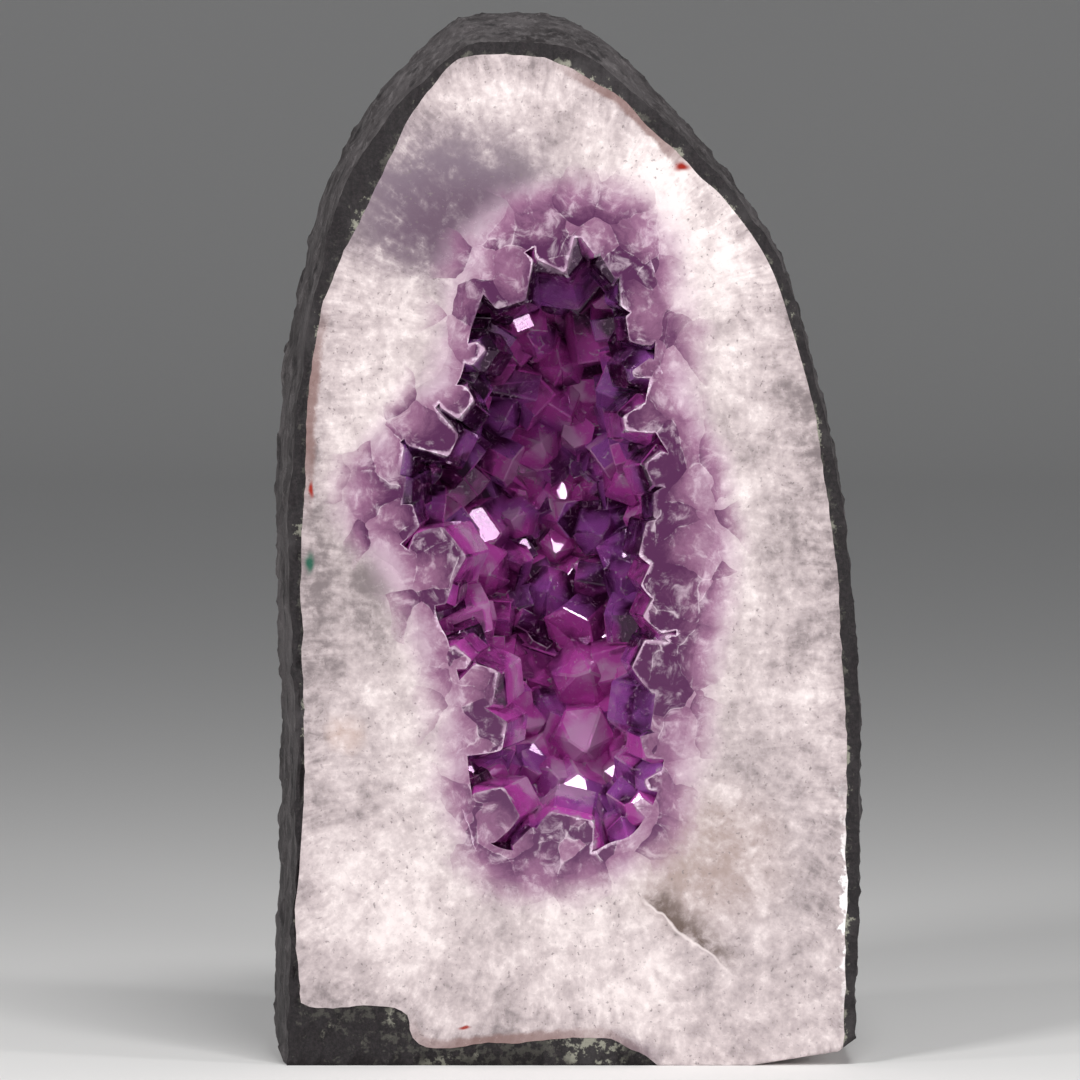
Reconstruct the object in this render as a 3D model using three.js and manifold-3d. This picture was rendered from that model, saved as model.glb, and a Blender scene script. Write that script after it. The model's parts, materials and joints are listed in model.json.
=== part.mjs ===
// Amethyst cathedral geode: a gas bubble in basalt, filled inwards by white quartz and
// then by amethyst points, sawn open down its front and sawn flat below so that it stands.
// It has three layers: the basalt rind, the quartz wall, and the crystal lining.
// Millimetres, +Z up, the sawn front faces -Y. The origin is on the base, under the
// middle of the whole stone.
import * as THREE from 'three';
import { LoftGeometry } from 'three/addons/geometries/LoftGeometry.js';
import { ConvexGeometry } from 'three/addons/geometries/ConvexGeometry.js';
import { ImprovedNoise } from 'three/addons/math/ImprovedNoise.js';
import { mergeVertices } from 'three/addons/utils/BufferGeometryUtils.js';
import Module from 'manifold-3d';

// Driving dimensions
const HEIGHT = 370;
const WIDTH = 206;
const DEPTH = 148;
const LAYER_GAP = 0.3; // between one layer and the next
const BELLY_DEPTH = 40; // how far behind the sawn face the stone is widest
const HUB_HEIGHT = 0.15 * HEIGHT; // the level of the stone's deepest point
const RIGHT_SWELL = 0.8; // how much the stone widens from the sawn face to its belly
const LEFT_SWELL = 6;
const TOP_SWELL = 7; // added towards the top
const RIND_BACK = 13; // thickness of the rind at the back
const BACK_ROUND_ACROSS = 2.7; // how squarely the back closes: 2 is an ellipse, more is squarer
const BACK_ROUND_UP = 2.3;
const BUBBLE_SWELL = 0.4; // how much the bubble widens to its belly, as a share of the stone's
const BASE_CORNER_RADIUS = 7; // the worn edge of the base, low on the left
const WEAR_START = 0.62; // on the right the base is worn from here, in shares of half the width,
const WEAR_HEIGHT = 0.035; // up to here, in shares of the height
const ROUGHNESS = 1.6; // from the lowest to the highest point of the outside
const WIDE_LUMPS = [46, 40, 60]; // how far apart the outside's lumps are along x, y and z
const FINE_LUMPS = [17, 15, 24];

// How finely the bodies are stepped
const STONE_SPOTS = 52; // round the stone and round the bubble
const HOLLOW_SPOTS = 36; // round the hollow
const POLE_SHARE = 0.985; // how near to a body's end its last section lies
const CUT_MARGIN = 8; // how far a body runs past the sawn face before it is cut

// The widest section, from the foot on the right, over the top, to the foot on the left:
// [share of half the width, share of the height].
const STONE_OUTLINE = [
  [0.98, 0.064], [1.0, 0.216], [0.99, 0.349], [0.963, 0.462], [0.911, 0.577], [0.812, 0.69],
  [0.71, 0.776], [0.499, 0.861], [0.319, 0.918], [0.1, 0.975], [-0.08, 0.997], [-0.33, 0.997],
  [-0.461, 0.975], [-0.659, 0.918], [-0.781, 0.861], [-0.857, 0.804], [-0.949, 0.69],
  [-0.993, 0.576], [-1.0, 0.491], [-0.98, 0.297], [-0.985, 0.178], [-0.998, 0.081],
  [-0.96, -0.05], [-0.58, -0.12], [0, -0.13], [0.58, -0.12], [0.94, -0.05],
];

// Where quartz meets basalt on the sawn face, with the thick block of basalt low on the left.
const QUARTZ_OUTLINE = [
  [0.94, 0.02], [0.945, 0.13], [0.945, 0.292], [0.925, 0.405], [0.902, 0.491],
  [0.826, 0.634], [0.774, 0.691], [0.715, 0.743], [0.655, 0.781], [0.49, 0.833],
  [0.313, 0.88], [0.193, 0.914], [0.074, 0.935], [-0.081, 0.955], [-0.234, 0.958],
  [-0.387, 0.951], [-0.473, 0.923], [-0.558, 0.89], [-0.626, 0.847], [-0.701, 0.804],
  [-0.797, 0.747], [-0.854, 0.691], [-0.885, 0.605], [-0.906, 0.491], [-0.903, 0.405],
  [-0.895, 0.272], [-0.915, 0.206], [-0.93, 0.178], [-0.925, 0.13], [-0.906, 0.078],
  [-0.88, 0.058], [-0.643, 0.057], [-0.548, 0.049], [-0.48, 0.019], [-0.165, 0.024],
  [0.108, 0.028], [0.193, 0.019], [0.278, 0.007], [0.4, -0.018], [0.7, -0.03], [0.9, -0.02],
];

// The hollow that the crystals line, on the sawn face.
const HOLLOW_OUTLINE = [
  [0.395, 0.415], [0.443, 0.508], [0.395, 0.574], [0.291, 0.632], [0.31, 0.711],
  [0.216, 0.779], [0.026, 0.798], [-0.211, 0.771], [-0.315, 0.737], [-0.381, 0.666],
  [-0.504, 0.624], [-0.665, 0.574], [-0.655, 0.516], [-0.533, 0.471], [-0.447, 0.402],
  [-0.362, 0.339], [-0.352, 0.268], [-0.248, 0.2], [0.112, 0.197], [0.301, 0.239],
  [0.367, 0.324],
];
const HOLLOW_CENTRE = [-0.06, 0.5];
const HOLLOW_DEPTH = 60;
const HOLLOW_POWER = 2; // 2 rounds the hollow like an ellipse, more squares it
const LINING_THICKNESS = 9; // amethyst under the points, on the sawn face
const LINING_DEPTH = 14; // amethyst under the points, at the back of the hollow

// Crystals
const R_FACE_SLOPE = THREE.MathUtils.degToRad(51.8); // rhombohedral face, from the base plane
const CRYSTAL_SPACING = 22.5;
const CRYSTAL_RADIUS = 12;
const RADIUS_RANGE = [0.72, 1.32]; // times the radius above
const CRYSTAL_ROOT = 6; // how far a crystal reaches back into the lining
const WALL_LENGTH = 1.75 * HOLLOW_DEPTH; // along the hollow's wall, from its mouth to its end
const ROW_SCATTER = 5; // how far apart in depth the crystals of a row lie
const AXIS_SCATTER = 0.5; // the spread of their directions
const SETBACK_RANGE = [0.05, 0.2]; // how far back the smaller faces of a point lie, in apothems
const LARGE_RISE = 0.8; // how far a large crystal's shoulder stands off the wall, in radii
const LARGE_REACH = 0.8; // how much room a large crystal keeps free, in radii
const SMALL_REACH = 0.35; // how much of its own radius another crystal keeps out of that room

// The large crystals that face the front: [x, height, radius, lean to the right, lean up].
const LARGE_CRYSTALS = [
  [-35, 196, 12.5, 0.3, 0.12], [-3, 246, 10, 0.05, -0.1], [6, 134, 14, 0.1, 0.15],
  [5, 112, 11.5, 0.05, -0.2], [-16, 118, 8, -0.1, -0.15], [-31, 172, 11.5, 0.2, -0.1],
  [-11, 254, 8.5, -0.3, 0.2], [-11, 216, 9, 0.15, 0.1], [-22, 140, 9.5, 0.25, 0.1],
  [-6, 162, 9.5, -0.1, 0.2], [10, 186, 9, 0.2, -0.15], [22, 205, 9.5, -0.25, 0.05],
  [17, 228, 8.5, -0.2, -0.1], [-18, 190, 8.5, -0.15, -0.05], [22, 168, 9.5, -0.3, 0.1],
  [-24, 228, 9, 0.2, -0.15], [-2, 272, 9, 0.1, -0.25], [-4, 96, 9.5, 0.1, 0.3],
];

const Z_AXIS = new THREE.Vector3(0, 0, 1);
const FRONT = new THREE.Vector3(0, -1, 0);
const wasm = await Module();
wasm.setup();
const perlin = new ImprovedNoise();

// ---- solids ----

// A closed geometry as a manifold-3d solid.
function solidOf(geometry) {
  const bare = new THREE.BufferGeometry();
  bare.setAttribute('position', geometry.attributes.position).setIndex(geometry.index);
  const merged = mergeVertices(bare, 1e-3);
  return new wasm.Manifold(new wasm.Mesh({
    numProp: 3,
    vertProperties: merged.attributes.position.array,
    triVerts: new Uint32Array(merged.index.array),
  }));
}

// A solid as a named mesh.
function meshOf(name, solid, material) {
  const { vertProperties, triVerts } = solid.getMesh();
  const geometry = new THREE.BufferGeometry();
  geometry.setAttribute('position', new THREE.BufferAttribute(vertProperties, 3));
  geometry.setIndex(new THREE.BufferAttribute(triVerts, 1));
  geometry.computeVertexNormals();
  const mesh = new THREE.Mesh(geometry, material);
  mesh.name = name;
  return mesh;
}

// What the two saw cuts leave: everything behind the sawn face and above the base, with the
// worn edges of the base.
function sawnBlock() {
  const shape = new THREE.Shape();
  const half = WIDTH / 2;
  shape.moveTo(half, HEIGHT * 1.1);
  shape.lineTo(-half, HEIGHT * 1.1);
  shape.lineTo(-half, BASE_CORNER_RADIUS);
  shape.absarc(
    BASE_CORNER_RADIUS - half, BASE_CORNER_RADIUS, BASE_CORNER_RADIUS,
    Math.PI, 1.5 * Math.PI,
  );
  shape.lineTo(WEAR_START * half, 0);
  shape.quadraticCurveTo(0.9 * half, WEAR_HEIGHT * HEIGHT / 9, half, WEAR_HEIGHT * HEIGHT);
  const block = new THREE.ExtrudeGeometry(shape, {
    depth: 2 * DEPTH, bevelEnabled: false, curveSegments: 5,
  });
  block.rotateX(Math.PI / 2);
  block.translate(0, 2 * DEPTH, 0);
  return solidOf(block);
}

// ---- surfaces ----

// A smooth closed curve through an outline given in shares of the stone's size.
function outlineCurve(outline) {
  const points = outline.map(([x, z]) => new THREE.Vector3(x * WIDTH / 2, 0, z * HEIGHT));
  return new THREE.CatmullRomCurve3(points, true, 'catmullrom', 0.5);
}

// Evenly spaced places round an outline, each a point and the direction away from the middle.
function ring(outline, count) {
  const curve = outlineCurve(outline);
  return Array.from({ length: count }, (_, i) => ({
    point: curve.getPointAt(i / count),
    away: curve.getTangentAt(i / count).cross(FRONT),
  }));
}

// How wide a rounded body still is at a share of its depth: 1 at its mouth, 0 at its end.
const dome = (share, power) => (1 - Math.min(share, 1) ** power) ** (1 / power);

// A loft from the front to the back. place(spot, depth) gives where a spot of the first
// ring lies in the section at a depth.
function loftBack(spots, depths, place) {
  const sections = depths.map((depth) => spots.map((spot) => place(spot, depth)).reverse());
  return new LoftGeometry(sections, { capStart: true, capEnd: true });
}

// Depths that close up towards the end, where the body rounds off.
function depthSteps(start, end, count) {
  return Array.from({ length: count + 1 }, (_, i) => {
    const share = Math.sin((i / count) * Math.PI / 2 * POLE_SHARE);
    return start + (end - start) * share;
  });
}

// How much the stone widens from the sawn face to its belly: most at the top, least on the right.
function swellAt(point) {
  const left = (1 - point.x / (WIDTH / 2)) / 2;
  const top = Math.max(point.z / HEIGHT, 0) ** 8;
  return THREE.MathUtils.lerp(RIGHT_SWELL, LEFT_SWELL, left) + TOP_SWELL * top;
}

// A spot's place in the section at a depth: moved along its outline's normal as far as the
// belly, and from there towards the hub, until the body ends at its back.
function sectionPoint(spot, depth, back, offset) {
  const out = spot.point.clone().addScaledVector(spot.away, offset);
  if (depth > BELLY_DEPTH) {
    const share = (depth - BELLY_DEPTH) / (back - BELLY_DEPTH);
    out.x *= dome(share, BACK_ROUND_ACROSS);
    out.z = HUB_HEIGHT + (out.z - HUB_HEIGHT) * dome(share, BACK_ROUND_UP);
  }
  return out.setY(depth);
}

// 0 at the sawn face, 1 at the belly and behind it.
const bellyShare = (depth) => Math.sin(
  THREE.MathUtils.clamp(depth / BELLY_DEPTH, -0.3, 1) * Math.PI / 2,
);

// The unevenness of the outside, from -0.5 to 0.5.
function unevenness({ x, z }, depth) {
  const lumps = ([across, inwards, up], from) => perlin.noise(
    x / across + from, depth / inwards + from, z / up,
  );
  return THREE.MathUtils.clamp(0.75 * lumps(WIDE_LUMPS, 7) + 0.45 * lumps(FINE_LUMPS, 3), -0.5, 0.5);
}

function stoneBody() {
  const place = (spot, depth) => {
    const swell = swellAt(spot.point) * (bellyShare(depth) - 1);
    const rough = ROUGHNESS * unevenness(spot.point, depth);
    return sectionPoint(spot, depth, DEPTH, swell + rough);
  };
  const depths = [-CUT_MARGIN, ...depthSteps(0, BELLY_DEPTH, 3).slice(0, 3),
    ...depthSteps(BELLY_DEPTH, DEPTH, 7)];
  return solidOf(loftBack(ring(STONE_OUTLINE, STONE_SPOTS), depths, place));
}

// The bubble that the quartz fills. grow moves its surface outwards.
function bubble(grow) {
  const back = DEPTH - RIND_BACK + grow;
  const place = (spot, depth) => {
    const swell = BUBBLE_SWELL * swellAt(spot.point) * bellyShare(depth);
    return sectionPoint(spot, depth, back, swell + grow);
  };
  const depths = [-CUT_MARGIN, ...depthSteps(0, BELLY_DEPTH, 2).slice(0, 2),
    ...depthSteps(BELLY_DEPTH, back, 6)];
  return solidOf(loftBack(ring(QUARTZ_OUTLINE, STONE_SPOTS), depths, place));
}

// The hollow's wall narrows towards its end behind this centre.
const hollowCurve = outlineCurve(HOLLOW_OUTLINE);
const hollowCentre = new THREE.Vector3(
  HOLLOW_CENTRE[0] * WIDTH / 2, 0, HOLLOW_CENTRE[1] * HEIGHT,
);

// Where a point of the hollow's mouth lies in the section at a depth, moved outwards by grow.
function hollowPoint(point, depth, end, grow) {
  const scale = dome(Math.max(depth, 0) / end, HOLLOW_POWER);
  const from = point.clone().sub(hollowCentre);
  const length = from.length() * scale + grow * Math.min(1, 2 * scale);
  return from.normalize().multiplyScalar(length).add(hollowCentre).setY(depth);
}

// The hollow as a solid, moved outwards by growSide and deepened by growBack.
function hollowBody(growSide, growBack) {
  const end = HOLLOW_DEPTH + growBack;
  const depths = [-CUT_MARGIN, ...depthSteps(0, end, 5)];
  const place = ({ point }, depth) => hollowPoint(point, depth, end, growSide);
  return solidOf(loftBack(ring(HOLLOW_OUTLINE, HOLLOW_SPOTS), depths, place));
}

// ---- crystals ----

// A hexagonal prism with a six-sided point: three large faces, and three that lie further back
// by setback. The shoulder is at z = 0, the point stands above it and the prism runs down.
function crystalGeometry(radius, length, setback) {
  const apothem = radius * Math.cos(Math.PI / 6);
  const planes = [{ normal: new THREE.Vector3(0, 0, -1), offset: length }];
  for (let k = 0; k < 6; k++) {
    const angle = k * Math.PI / 3;
    const side = new THREE.Vector3(Math.cos(angle), Math.sin(angle), 0);
    planes.push({ normal: side, offset: apothem });
    const slope = side.clone().multiplyScalar(Math.sin(R_FACE_SLOPE))
      .addScaledVector(Z_AXIS, Math.cos(R_FACE_SLOPE));
    const back = k % 2 ? setback : 0;
    planes.push({ normal: slope, offset: apothem * Math.sin(R_FACE_SLOPE) * (1 + back) });
  }
  return new ConvexGeometry(cornersOf(planes));
}

// The corners of the solid that lies behind all the planes.
function cornersOf(planes) {
  const corners = [];
  const meet = new THREE.Matrix3();
  for (let i = 0; i < planes.length; i++) {
    for (let j = i + 1; j < planes.length; j++) {
      for (let k = j + 1; k < planes.length; k++) {
        const [a, b, c] = [planes[i], planes[j], planes[k]];
        meet.set(
          a.normal.x, a.normal.y, a.normal.z,
          b.normal.x, b.normal.y, b.normal.z,
          c.normal.x, c.normal.y, c.normal.z,
        );
        if (Math.abs(meet.determinant()) < 1e-6) continue;
        const point = new THREE.Vector3(a.offset, b.offset, c.offset)
          .applyMatrix3(meet.invert());
        if (planes.every((p) => p.normal.dot(point) <= p.offset + 1e-6)
          && corners.every((other) => other.distanceTo(point) > 1e-4)) {
          corners.push(point);
        }
      }
    }
  }
  return corners;
}

// A crystal whose shoulder stands at a point, leaning along a direction.
function crystalAt(point, direction, radius, spin, setback, root) {
  const geometry = crystalGeometry(radius, root, setback);
  const turn = new THREE.Quaternion().setFromUnitVectors(Z_AXIS, direction)
    .multiply(new THREE.Quaternion().setFromAxisAngle(Z_AXIS, spin));
  geometry.applyQuaternion(turn);
  geometry.translate(point.x, point.y, point.z);
  return solidOf(geometry);
}

// A repeatable number between two others for each crystal and purpose.
function chance(index, purpose, [low, high] = [0, 1]) {
  const raw = Math.sin(index * 12.9898 + purpose * 78.233) * 43758.5453;
  return low + (high - low) * (raw - Math.floor(raw));
}

// The depth of the hollow's wall straight behind a point of the sawn face.
function wallDepth(x, z) {
  const from = new THREE.Vector3(x, 0, z).sub(hollowCentre);
  const turnTo = (point) => point.clone().sub(hollowCentre).angleTo(from);
  const mouth = hollowCurve.getPoints(200)
    .reduce((best, point) => (turnTo(point) < turnTo(best) ? point : best));
  return HOLLOW_DEPTH * dome(from.length() / mouth.distanceTo(hollowCentre), HOLLOW_POWER);
}

function largeCrystals() {
  return LARGE_CRYSTALS.map(([x, z, radius, right, up], i) => {
    const depth = wallDepth(x, z);
    const direction = new THREE.Vector3(right, -1, up).normalize();
    const shoulder = new THREE.Vector3(x, depth - LARGE_RISE * radius, z);
    return crystalAt(
      shoulder, direction, radius, chance(i, 1, [0, Math.PI / 3]),
      chance(i, 2, SETBACK_RANGE), LARGE_RISE * radius + CRYSTAL_ROOT,
    );
  });
}

// Whether a crystal on the wall leaves the large ones free, beside them or well in front.
function isClearOfLarge(point, radius) {
  return LARGE_CRYSTALS.every(([x, z, large]) => Math.hypot(point.x - x, point.z - z)
    > LARGE_REACH * large + SMALL_REACH * radius || point.y < 0.55 * wallDepth(x, z));
}

// Crystals in rows round the hollow, from its mouth to its end, one spacing apart.
function rowCrystals() {
  const made = [];
  const rows = Math.round(WALL_LENGTH / CRYSTAL_SPACING);
  for (let row = 0; row < rows; row++) {
    const share = Math.sin((row + 0.1) / rows * Math.PI / 2);
    const scale = dome(share, HOLLOW_POWER);
    const count = Math.max(3, Math.round(hollowCurve.getLength() * scale / CRYSTAL_SPACING));
    for (let i = 0; i < count; i++) {
      const index = row * 100 + i;
      const around = (i + 0.5 + (row % 2) / 2 + chance(index, 3, [-0.25, 0.25])) / count;
      const depth = HOLLOW_DEPTH * share + chance(index, 4, [-ROW_SCATTER / 2, ROW_SCATTER / 2]);
      const point = hollowPoint(hollowCurve.getPointAt(around % 1), depth, HOLLOW_DEPTH, 0);
      const radius = CRYSTAL_RADIUS * chance(index, 5, RADIUS_RANGE);
      if (!isClearOfLarge(point, radius)) continue;

      // Off the wall near the mouth, towards the front at the end of the hollow.
      const direction = hollowCentre.clone().sub(point).setY(0).normalize()
        .multiplyScalar(scale)
        .addScaledVector(FRONT, 1.05 - 0.55 * scale);
      direction.x += AXIS_SCATTER * (chance(index, 6) - 0.5);
      direction.y += AXIS_SCATTER * (chance(index, 7) - 0.5);
      direction.z += AXIS_SCATTER * (chance(index, 8) - 0.5);
      made.push(crystalAt(
        point, direction.normalize(), radius, chance(index, 9, [0, Math.PI / 3]),
        chance(index, 10, SETBACK_RANGE), CRYSTAL_ROOT + 0.3 * radius,
      ));
    }
  }
  return made;
}

// ---- the three layers ----

function buildRind(stone) {
  return stone.subtract(bubble(0)).intersect(sawnBlock());
}

function buildQuartz(stone) {
  const outside = stone.intersect(sawnBlock());
  const socket = hollowBody(LINING_THICKNESS + LAYER_GAP, LINING_DEPTH + LAYER_GAP);
  return bubble(-LAYER_GAP).intersect(outside).subtract(socket);
}

function buildAmethyst() {
  const lining = hollowBody(LINING_THICKNESS, LINING_DEPTH).intersect(sawnBlock());
  const crystals = [...largeCrystals(), ...rowCrystals()]
    .reduce((joined, crystal) => joined.add(crystal));
  return lining.subtract(hollowBody(0, 0).subtract(crystals));
}

const stone = stoneBody();
const rind = meshOf('basalt_rind', buildRind(stone), new THREE.MeshStandardMaterial({
  color: 0x45403f, roughness: 0.85, metalness: 0,
}));
const quartz = meshOf('quartz_wall', buildQuartz(stone), new THREE.MeshStandardMaterial({
  color: 0xdcd2d2, roughness: 0.25, metalness: 0,
}));
const amethyst = meshOf('amethyst_crystals', buildAmethyst(), new THREE.MeshStandardMaterial({
  color: 0x6a2a78, roughness: 0.08, metalness: 0,
}));

const geode = new THREE.Group();
geode.add(rind, quartz, amethyst);

// The unevenness changes the size a little, so the stone is brought to its driving size, and
// the origin comes under its middle.
const box = new THREE.Box3().setFromObject(geode);
const size = box.getSize(new THREE.Vector3());
const middle = box.getCenter(new THREE.Vector3());
geode.scale.set(WIDTH / size.x, DEPTH / size.y, HEIGHT / size.z);
geode.position.set(-middle.x * geode.scale.x, -middle.y * geode.scale.y, 0);

export default geode;
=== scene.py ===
import json
import math
import random

import bpy
import numpy as np
from mathutils import Matrix, Quaternion, Vector, kdtree, noise

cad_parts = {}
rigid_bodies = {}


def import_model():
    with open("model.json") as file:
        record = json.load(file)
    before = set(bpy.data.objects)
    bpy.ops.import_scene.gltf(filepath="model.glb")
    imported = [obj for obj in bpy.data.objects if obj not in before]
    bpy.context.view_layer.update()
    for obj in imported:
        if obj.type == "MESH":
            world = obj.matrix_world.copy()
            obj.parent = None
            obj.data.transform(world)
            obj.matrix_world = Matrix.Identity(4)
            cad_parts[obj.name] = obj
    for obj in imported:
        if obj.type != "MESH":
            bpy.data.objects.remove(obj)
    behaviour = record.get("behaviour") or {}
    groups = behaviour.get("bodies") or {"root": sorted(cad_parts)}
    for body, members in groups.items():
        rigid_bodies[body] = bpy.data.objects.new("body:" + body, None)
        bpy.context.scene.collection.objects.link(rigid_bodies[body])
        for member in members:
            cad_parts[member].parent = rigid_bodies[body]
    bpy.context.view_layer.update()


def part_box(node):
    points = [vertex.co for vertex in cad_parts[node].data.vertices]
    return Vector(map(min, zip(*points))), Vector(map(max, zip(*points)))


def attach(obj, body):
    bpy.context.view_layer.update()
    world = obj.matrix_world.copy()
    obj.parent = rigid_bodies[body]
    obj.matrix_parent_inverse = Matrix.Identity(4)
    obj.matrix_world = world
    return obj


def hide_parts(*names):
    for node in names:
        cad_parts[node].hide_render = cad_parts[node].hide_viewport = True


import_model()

stoneLow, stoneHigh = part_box("basalt_rind")
halfWidth = (stoneHigh.x - stoneLow.x) / 2
tall = stoneHigh.z - stoneLow.z
faceY = stoneLow.y  # the sawn front
stoneDepth = stoneHigh.y - stoneLow.y
mm = 0.001
frontward = Vector((0, -1, 0))

# the same outlines as the solids, in shares of half the width and of the height
outlines = {
    "stone": [
        (0.98, 0.064), (1.0, 0.216), (0.99, 0.349), (0.963, 0.462), (0.911, 0.577),
        (0.812, 0.69), (0.71, 0.776), (0.499, 0.861), (0.319, 0.918), (0.1, 0.975),
        (-0.08, 0.997), (-0.33, 0.997), (-0.461, 0.975), (-0.659, 0.918), (-0.781, 0.861),
        (-0.857, 0.804), (-0.949, 0.69), (-0.993, 0.576), (-1.0, 0.491), (-0.98, 0.297),
        (-0.985, 0.178), (-0.998, 0.081), (-0.96, -0.05), (-0.58, -0.12), (0, -0.13),
        (0.58, -0.12), (0.94, -0.05),
    ],
    "quartz": [
        (0.94, 0.02), (0.945, 0.13), (0.945, 0.292), (0.925, 0.405), (0.902, 0.491),
        (0.826, 0.634), (0.774, 0.691), (0.715, 0.743), (0.655, 0.781), (0.49, 0.833),
        (0.313, 0.88), (0.193, 0.914), (0.074, 0.935), (-0.081, 0.955), (-0.234, 0.958),
        (-0.387, 0.951), (-0.473, 0.923), (-0.558, 0.89), (-0.626, 0.847), (-0.701, 0.804),
        (-0.797, 0.747), (-0.854, 0.691), (-0.885, 0.605), (-0.906, 0.491), (-0.903, 0.405),
        (-0.895, 0.272), (-0.915, 0.206), (-0.93, 0.178), (-0.925, 0.13), (-0.906, 0.078),
        (-0.88, 0.058), (-0.643, 0.057), (-0.548, 0.049), (-0.48, 0.019), (-0.165, 0.024),
        (0.108, 0.028), (0.193, 0.019), (0.278, 0.007), (0.4, -0.018), (0.7, -0.03),
        (0.9, -0.02),
    ],
    "hollow": [
        (0.395, 0.415), (0.443, 0.508), (0.395, 0.574), (0.291, 0.632), (0.31, 0.711),
        (0.216, 0.779), (0.026, 0.798), (-0.211, 0.771), (-0.315, 0.737), (-0.381, 0.666),
        (-0.504, 0.624), (-0.665, 0.574), (-0.655, 0.516), (-0.533, 0.471), (-0.447, 0.402),
        (-0.362, 0.339), (-0.352, 0.268), (-0.248, 0.2), (0.112, 0.197), (0.301, 0.239),
        (0.367, 0.324),
    ],
}

layout = {
    "spineX": -0.06 * halfWidth,  # the layers fan out from this upright line
    "spineLow": 0.3 * tall,
    "spineHigh": 0.69 * tall,
    "fanReach": 0.1,  # how many metres of station a radian of the fans takes
    "bellyDepth": 40 * mm,
    "hubHeight": 0.15 * tall,
    "sidePower": 2.7,  # how square the back is across
    "topPower": 2.3,  # and upwards
    "bubbleSwell": 0.4,  # of the stone's own swelling
    "rightSwell": 0.8 * mm,
    "leftSwell": 6 * mm,
    "topSwell": 7 * mm,
    "rindBack": 13 * mm,
    "hollowDepth": 60 * mm,
    "hollowPower": 2.0,
}
hollowCentre = (layout["spineX"], 0.5 * tall)


# selecting, applying, merging

def deselectAll():
    if bpy.context.object and bpy.context.object.mode != "OBJECT":
        bpy.ops.object.mode_set(mode="OBJECT")
    bpy.ops.object.select_all(action="DESELECT")


def pick(piece):
    deselectAll()
    bpy.context.view_layer.objects.active = piece
    piece.select_set(True)


def applyModifier(piece, kind, **settings):
    pick(piece)
    modifier = piece.modifiers.new(kind.lower(), kind)
    for name, value in settings.items():
        setattr(modifier, name, value)
    bpy.ops.object.modifier_apply(modifier=modifier.name)


def settle(piece):
    pick(piece)
    bpy.ops.object.transform_apply(location=True, rotation=True, scale=True)


def removePiece(piece):
    bpy.data.objects.remove(piece, do_unlink=True)


# outlines as closed curves, and places round them

def smoothLoop(shares):
    knots = np.array(shares) * (halfWidth, tall)
    before, after, beyond = (np.roll(knots, by, 0)[:, None] for by in (1, -1, -2))
    here = knots[:, None]
    way = np.linspace(0, 1, 60, endpoint=False)[None, :, None]
    curve = 0.5 * (2 * here + (after - before) * way
                   + (2 * before - 5 * here + 4 * after - beyond) * way ** 2
                   + (3 * here - before - 3 * after + beyond) * way ** 3)
    return curve.reshape(-1, 2)


spineLength = layout["spineHigh"] - layout["spineLow"]
fanReach = layout["fanReach"]
stationTotal = 2 * spineLength + 2 * math.pi * fanReach


def stationOf(x, z):
    # up the right side, over the top fan, down the left side, round the bottom fan
    across = x - layout["spineX"]
    over = np.arctan2(z - layout["spineHigh"], across)
    under = np.arctan2(layout["spineLow"] - z, -across)
    side = np.clip(z, layout["spineLow"], layout["spineHigh"]) - layout["spineLow"]
    station = np.where(across > 0, side, spineLength + math.pi * fanReach + spineLength - side)
    station = np.where(z > layout["spineHigh"], spineLength + over * fanReach, station)
    bottom = 2 * spineLength + math.pi * fanReach + under * fanReach
    return np.where(z < layout["spineLow"], bottom, station) % stationTotal


def radiusOf(x, z):
    nearest = np.clip(z, layout["spineLow"], layout["spineHigh"])
    return np.hypot(x - layout["spineX"], z - nearest)


class Outline:
    def __init__(self, name):
        self.loop = smoothLoop(outlines[name])
        x, z = self.loop.T
        self.stations = stationOf(x, z)
        self.radii = radiusOf(x, z)
        tangent = np.roll(self.loop, -1, 0) - np.roll(self.loop, 1, 0)
        tangent /= np.linalg.norm(tangent, axis=1)[:, None]
        self.awayX, self.awayZ = tangent[:, 1], -tangent[:, 0]

    def at(self, station, values):
        return np.interp(station, self.stations, values, period=stationTotal)

    def point(self, station):
        radius = self.at(station, self.radii)
        return fanPoint(station, radius)

    def away(self, station):
        return self.at(station, self.awayX), self.at(station, self.awayZ)

    def evenStations(self, count):
        step = np.linalg.norm(np.roll(self.loop, -1, 0) - self.loop, axis=1)
        start = np.argmin(self.stations)
        length = np.concatenate([[0], np.cumsum(np.roll(step, -start))])
        stations = np.concatenate([np.roll(self.stations, -start), [stationTotal]])
        return np.interp(np.arange(count) / count * length[-1], length, stations)


def fanPoint(station, radius):
    station = np.asarray(station) % stationTotal
    topStart, leftStart = spineLength, spineLength + math.pi * fanReach
    bottomStart = leftStart + spineLength
    overTop = np.clip((station - topStart) / fanReach, 0, math.pi)
    underBottom = np.clip((station - bottomStart) / fanReach, 0, math.pi)
    angle = overTop + underBottom
    rise = np.clip(station, 0, spineLength) - np.clip(station - leftStart, 0, spineLength)
    x = layout["spineX"] + radius * np.cos(angle)
    z = layout["spineLow"] + rise + radius * np.sin(angle)
    return x, z


stoneLine, quartzLine, hollowLine = Outline("stone"), Outline("quartz"), Outline("hollow")


# sections of the stone, the bubble and the hollow at a depth behind the sawn face

def dome(share, power):
    return (1 - np.clip(share, 0, 1) ** power) ** (1 / power)


def bellyShare(depth):
    return np.sin(np.clip(depth / layout["bellyDepth"], -0.3, 1) * math.pi / 2)


def swellAt(x, z):
    left = (1 - x / halfWidth) / 2
    return (layout["rightSwell"] + (layout["leftSwell"] - layout["rightSwell"]) * left
            + layout["topSwell"] * np.clip(z / tall, 0, None) ** 8)


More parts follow.
